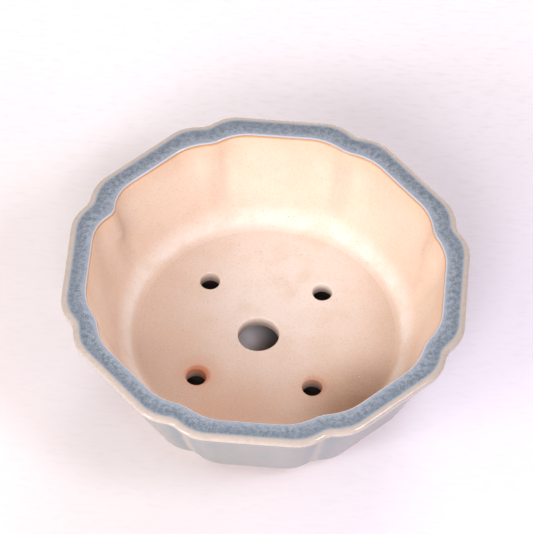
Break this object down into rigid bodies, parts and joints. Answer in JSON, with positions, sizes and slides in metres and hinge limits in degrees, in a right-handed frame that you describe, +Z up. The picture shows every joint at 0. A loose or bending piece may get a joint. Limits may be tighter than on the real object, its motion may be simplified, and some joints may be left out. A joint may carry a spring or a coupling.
{
  "type": "bonsai pot",
  "caption": "Shallow eight-lobed bonsai pot with a flat glazed rim, bare clay inside, a drain hole, wiring holes and wide bracket feet.",
  "frame": {"origin": "centre of the footprint, on the surface the feet stand on", "axes": "+Z up, through the mouth; +X and +Y through the middles of two lobes"},
  "size_m": [0.2, 0.2, 0.065],
  "materials": {
    "bare_clay": "matte unglazed fired clay, pale peach, flushed orange at edges",
    "body_glaze": "glossy pale grey-blue glaze",
    "rim_glaze": "satin mottled slate-blue glaze, cream where it thins on the edge"
  },
  "bodies": {
    "root": {"floor_slab": "bare_clay", "wall": "bare_clay", "corner_coil": "bare_clay", "rim_lip": "bare_clay", "foot_front_left": "bare_clay", "foot_front_right": "bare_clay", "foot_back_right": "bare_clay", "foot_back_left": "bare_clay", "wall_glaze": "body_glaze", "foot_glaze": "body_glaze", "rim_glaze": "rim_glaze"}
  },
  "joints": []
}
